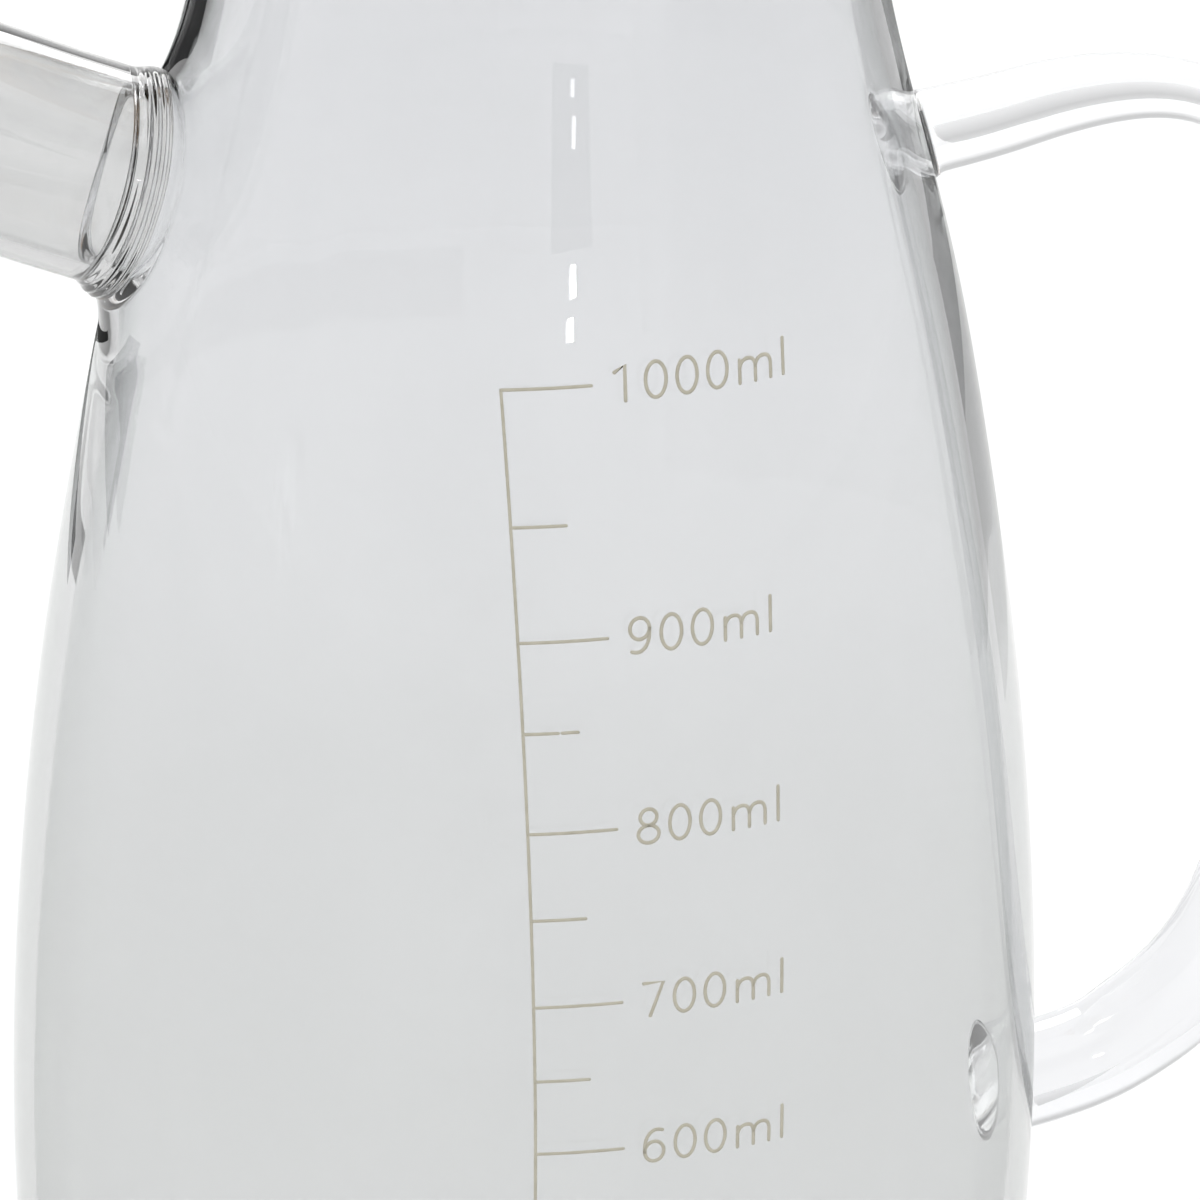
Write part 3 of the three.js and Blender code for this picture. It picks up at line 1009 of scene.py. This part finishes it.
def bamboo_material(name, turn):
    """Laminated bamboo: strips of their own tone, long fibres and a dark knuckle here and there."""
    shader = Shader(name)
    turned = shader.place(turn=turn)
    sides = shader.split(turned)

    def from_middle(distance, pitch):
        """How far a distance is from the middle of its own stretch of the pitch."""
        share = shader.math("FRACT", shader.math("DIVIDE", distance, pitch))
        return shader.math("ABSOLUTE", shader.math("SUBTRACT", share, 0.5))

    across = shader.math("ADD", sides["X"], 0.0021)
    strip = shader.math("FLOOR", shader.math("DIVIDE", across, STRIP))
    random = shader.node("ShaderNodeTexWhiteNoise", {"W": strip}, noise_dimensions="1D")
    random = random.outputs["Value"]
    along = shader.math("ADD", sides["Y"], shader.math("MULTIPLY", random, 0.37))
    stretched = shader.node("ShaderNodeMapping", {"Vector": turned, "Scale": (1, 0.035, 1)})
    stretched = stretched.outputs["Vector"]
    fibre = shader.noise(stretched, 1500, 3, 0.6)
    glue = shader.ramp(from_middle(across, STRIP), [(0.46, 1), (0.495, 0.7)])
    colour = shader.ramp(random, STRIP_TONES)
    for layer in (
        shader.ramp(fibre, [(0.3, (0.8, 0.78, 0.75)), (0.62, (1.06, 1.05, 1.03))]),
        shader.ramp(shader.noise(stretched, 420, 2), [(0.3, (0.9, 0.88, 0.85)), (0.7, 1.05)]),
        shader.ramp(from_middle(along, KNUCKLE), [(0.0, 0.62), (0.009, 0.8), (0.022, 1)]),
        glue,
    ):
        colour = shader.multiply(colour, layer)
    shader.surface({
        "Base Color": colour,
        "Roughness": shader.ramp(fibre, [(0.3, 0.62), (0.7, 0.44)]),
        "Coat Weight": 0.12,
        "Coat Roughness": 0.35,
    })
    shader.bump(shader.math("MULTIPLY", fibre, glue), 0.35, 0.00012)
    return shader.material


def silicone_material():
    """Milky silicone with a soft cloud and a fine matte skin."""
    shader = Shader("milky_silicone")
    cloud = shader.noise(shader.place(), 140, 3)
    skin = shader.noise(shader.place(), 900, 2)
    shader.surface({
        "Base Color": shader.ramp(cloud, [(0.3, (0.80, 0.79, 0.755)), (0.7, (0.86, 0.85, 0.82))]),
        "Roughness": shader.ramp(skin, [(0.3, 0.3), (0.7, 0.42)]),
        "Subsurface Weight": 0.35,
        "Subsurface Radius": (0.004, 0.0036, 0.003),
        "Subsurface Scale": 0.5,
    })
    shader.bump(shader.noise(shader.place((1, 1, 6)), 260, 2), 0.15, 0.0001)
    return shader.material


def steel_material():
    """Turned stainless steel: rings of fine scratches about the axis."""
    shader = Shader("turned_steel")
    inputs = {"Vector": shader.place(), "Scale": 900, "Distortion": 1.5, "Detail": 2}
    rings = shader.node(
        "ShaderNodeTexWave", inputs, wave_type="RINGS", rings_direction="Z", wave_profile="SIN"
    ).outputs["Fac"]
    cloud = shader.noise(shader.place(), 500, 3)
    shader.surface({
        "Base Color": shader.ramp(cloud, [(0.3, (0.55, 0.56, 0.575)), (0.7, (0.66, 0.67, 0.68))]),
        "Roughness": shader.ramp(rings, [(0.0, 0.2), (1.0, 0.34)]),
        "Metallic": 1.0,
    })
    shader.bump(rings, 0.2, 0.00003)
    return shader.material


glass = glass_material("blown_glass", BODY_PAINTED_SHADING, BODY_EDGE_PAINTED_SHADE)
spout_glass = glass_material("spout_glass", SPOUT_PAINTED_SHADE, SPOUT_EDGE_PAINTED_SHADE)
rod_glass = glass_material("rod_glass", ROD_PAINTED_SHADE, ROD_EDGE_PAINTED_SHADE)
fused = weld_material()
vessel = make_object("glass_body_blown", vessel_mesh([glass, fused]), "jug")
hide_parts("glass_body")
# A shadow of clear glass would be a solid dark disc under the foot.
vessel.visible_shadow = False
spout = make_object("spout_tube", spout_mesh([spout_glass, fused]), "jug")
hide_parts("spout")
handle = make_object("handle_rod", handle_mesh([rod_glass, fused]), "jug")
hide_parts("handle")

scale = make_object("scale_print", scale_mesh(print_material()), "jug")

silicone = silicone_material()
steel = steel_material()
for name, node, outline, wood, turn in (
    ("lid_disc_turned", "lid_disc", disc_outline, "bamboo_laminate", (0, 0, 0.3)),
    ("lid_plug_turned", "lid_plug", plug_outline, "bamboo_cross_laminate", (0, 0, 0.3 + QUARTER)),
    ("lid_knob_turned", "lid_knob", knob_outline, "bamboo_turned", (QUARTER, 0, 0.2)),
):
    mesh = turned_mesh(name, outline(*node_size(node)), bamboo_material(wood, turn))
    made = make_object(name, mesh, "lid")
    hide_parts(node)
outline = seal_outline(*node_size("seal_ring"))
seal_shape = turned_mesh("seal_ring", outline, silicone, SEAL_STEP, closed=True)
seal = make_object("seal_ring_lips", seal_shape, "lid")
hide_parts("seal_ring")
for name in ("knob_screw", "screw_washer"):
    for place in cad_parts[name].material_slots:
        place.material = steel

# Camera, at the photo's angle.
CAMERA_AZIMUTH = math.radians(-12)
CAMERA_ELEVATION = math.radians(20)
CAMERA_ROLL = math.radians(1.11)
CAMERA_DISTANCE = 0.5
CAMERA_TARGET = (0.00656, 0.0, 0.1272)
SENSOR = 36.0
LENS = 158.1


def make_camera():
    camera = add_object("camera", bpy.data.cameras.new("camera"))
    turn = Matrix.Rotation(CAMERA_AZIMUTH, 4, "Z")
    back = Vector((0, -math.cos(CAMERA_ELEVATION), math.sin(CAMERA_ELEVATION)))
    place = Vector(CAMERA_TARGET) + CAMERA_DISTANCE * back
    tilt = Matrix.Rotation(math.pi / 2 - CAMERA_ELEVATION, 4, "X")
    roll = Matrix.Rotation(CAMERA_ROLL, 4, "Z")
    camera.matrix_world = turn @ Matrix.Translation(place) @ tilt @ roll
    camera.data.sensor_width = SENSOR
    camera.data.lens = LENS
    camera.data.clip_start = 0.01
    camera.data.clip_end = 50
    scene.camera = camera


make_camera()


def rectangle(low, high):
    """The corners of a rectangle, in order."""
    return [low, (high[0], low[1]), high, (low[0], high[1])]


def make_floor():
    """A plain pale floor."""
    mesh = bpy.data.meshes.new("floor")
    corners = [(x, y, 0) for x, y in rectangle((-6.0, -6.0), (6.0, 6.0))]
    mesh.from_pydata(corners, [], [(0, 1, 2, 3)])
    shader = Shader("floor_paper")
    paper = shader.ramp(shader.noise(shader.place(), 3, 2), [(0.3, 0.905), (0.7, 0.915)])
    shader.surface({"Base Color": paper, "Roughness": 0.9})
    mesh.materials.append(shader.material)
    floor = add_object("floor", mesh)


make_floor()

# What light a card shows itself to, next to what its visibility says.
LIGHT_TESTS = {
    "edge": ("Glossy Depth", "GREATER_THAN", 0.5),
    "skin": ("Glossy Depth", "GREATER_THAN", 0.5),
    "rod": ("Transmission Depth", "LESS_THAN", 2.5),
}


def make_card(name, points, tones, seen_by, faces=((0, 1, 2, 3),)):
    """A grey card beside the set, whose tones run from its lowest point up.

    seen_by is "edge" for light turned inside the glass, "skin" for that and for what the glass
    mirrors, "rod" for light straight through one solid piece of glass, "gleam" for what the glass
    mirrors, or "shade" for a card that only casts a shadow.
    """
    mesh = bpy.data.meshes.new(name)
    mesh.from_pydata(points, [], faces)
    shader = Shader(name)
    height = shader.split(shader.place((1, 1, 1 / max(p[2] for p in points))))["Z"]
    shader.surface({"Base Color": shader.ramp(height, tones), "Roughness": 1.0})
    if seen_by in LIGHT_TESTS:
        depth, test, limit = LIGHT_TESTS[seen_by]
        path = shader.node("ShaderNodeLightPath", {})
        shader.surface({"Alpha": shader.math(test, path.outputs[depth], limit)})
    mesh.materials.append(shader.material)
    card = add_object(name, mesh)
    card.visible_camera = card.visible_diffuse = False
    card.visible_shadow = seen_by == "shade"
    card.visible_glossy = seen_by in ("gleam", "skin")
    card.visible_transmission = seen_by in LIGHT_TESTS


# Cards bent round the set: tone, angles to the left of the way the camera looks, points along an
# edge, both edges as (distance, height), and what sees the card. Some lie just over the floor.
LOW = 0.0006
CURVED_CARDS = {
    "card_left": (0.02, (2, 54), 12, (0.68, 0), (0.68, 0.3), "edge"),
    "card_left_low": (0.7, (-6, 54), 13, (0.45, 0.036), (0.45, 0.072), "edge"),
    "card_left_high": (0.01, (18, 46), 7, (0.7, 0.07), (0.7, 0.17), "skin"),
    "card_right": (0.4, (-52, -2), 11, (0.5, 0), (0.5, 0.3), "edge"),
    "card_line": (0.01, (3, 40), 12, (0.51, LOW), (0.56, LOW), "skin"),
    "card_shoulder": (0.005, (16, 60), 12, (0.8, LOW), (1.4, LOW), "skin"),
    "card_right_near": (0.62, (-40, -3), 12, (0.42, LOW), (0.75, LOW), "skin"),
    "card_right_far": (0.16, (-40, -3), 12, (0.75, LOW), (1.4, LOW), "skin"),
    "foot_shade": (0.5, (0, 360), 61, (0.039, 0.006), (0.0455, 0.006), "shade"),
}

for name, (tone, azimuths, count, near, far, seen_by) in CURVED_CARDS.items():
    steps = np.radians(np.linspace(*azimuths, count)) + CAMERA_AZIMUTH + math.pi / 2
    points = [(d * math.cos(a), d * math.sin(a), z) for d, z in (near, far) for a in steps]
    faces = [(i, i + 1, i + 1 + count, i + count) for i in range(count - 1)]
    make_card(name, points, [(0.0, tone), (1.0, tone)], seen_by, faces)


def behind(across, away, height):
    """A point seen from the camera across to the right of the vessel's axis and away behind it."""
    right = (math.cos(CAMERA_AZIMUTH), math.sin(CAMERA_AZIMUTH))
    return (across * right[0] - away * right[1], across * right[1] + away * right[0], height)


floor_card = [(x, y, 0.0005) for x, y in rectangle((-1.5, -1.5), (1.5, 1.5))]
make_card("card_floor", floor_card, [(0.0, 0.74), (1.0, 0.74)], "edge")
handle_card = [behind(x, 0.5, z) for x, z in rectangle((0.03, 0.0), (0.5, 0.168))]
make_card("card_handle", handle_card, [(0.0, 0.92), (0.3, 0.78), (0.7, 0.62), (1.0, 0.74)], "rod")
flag = [(x, -0.185, z) for x, z in rectangle((-0.024, 0.2165), (0.01, 0.24))]
make_card("flag", flag, [(0.0, 0.02), (1.0, 0.02)], "gleam")

LAMP_TARGET = (0, 0, 0.171)


def make_lamp(name, azimuth, elevation, distance, size, power, gloss_only=False):
    """A rectangular lamp that looks at the jug's shoulder."""
    data = bpy.data.lights.new(name, "AREA")
    data.shape = "RECTANGLE"
    data.size, data.size_y = size
    data.energy = power
    lamp = add_object(name, data)
    round_axis = Matrix.Rotation(math.radians(azimuth), 4, "Z")
    away = round_axis @ Matrix.Rotation(math.radians(-elevation), 4, "X")
    aim = Matrix.Translation(LAMP_TARGET) @ away @ Matrix.Translation((0, -distance, 0))
    lamp.matrix_world = aim @ Matrix.Rotation(math.pi / 2, 4, "X")
    if gloss_only:
        lamp.visible_camera = lamp.visible_diffuse = lamp.visible_transmission = False


make_lamp("lamp_upper", -1.0, 15.3, 1.5, (0.036, 0.03), 0.25)
make_lamp("lamp_lower", -1.8, 13.1, 1.5, (0.036, 0.036), 0.3)
make_lamp("lamp_above", 150, 45, 1.5, (2.0, 0.9), 30.0, gloss_only=True)


# The studio's grey from straight below to straight above, and its brightness.
SKY = [(0.0, 0.6), (0.3, 0.6), (0.5, 0.32), (0.68, 0.32), (0.82, 0.88), (1.0, 0.88)]
SKY_STRENGTH = 1.87


def make_world():
    """A soft studio: bright below and overhead, greyer between."""
    world = bpy.data.worlds.new("studio")
    world.use_nodes = True
    nodes, links = world.node_tree.nodes, world.node_tree.links
    split = nodes.new("ShaderNodeSeparateXYZ")
    ramp = nodes.new("ShaderNodeValToRGB")
    fill_ramp(ramp.color_ramp, SKY)
    links.new(nodes.new("ShaderNodeTexCoord").outputs["Generated"], split.inputs["Vector"])
    links.new(split.outputs["Z"], ramp.inputs["Fac"])
    links.new(ramp.outputs["Color"], nodes["Background"].inputs["Color"])
    nodes["Background"].inputs["Strength"].default_value = SKY_STRENGTH
    scene.world = world


make_world()
scene.view_settings.view_transform = "Standard"
scene.cycles.max_bounces = 32
scene.cycles.glossy_bounces = 24
scene.cycles.transmission_bounces = 24
scene.cycles.transparent_max_bounces = 32
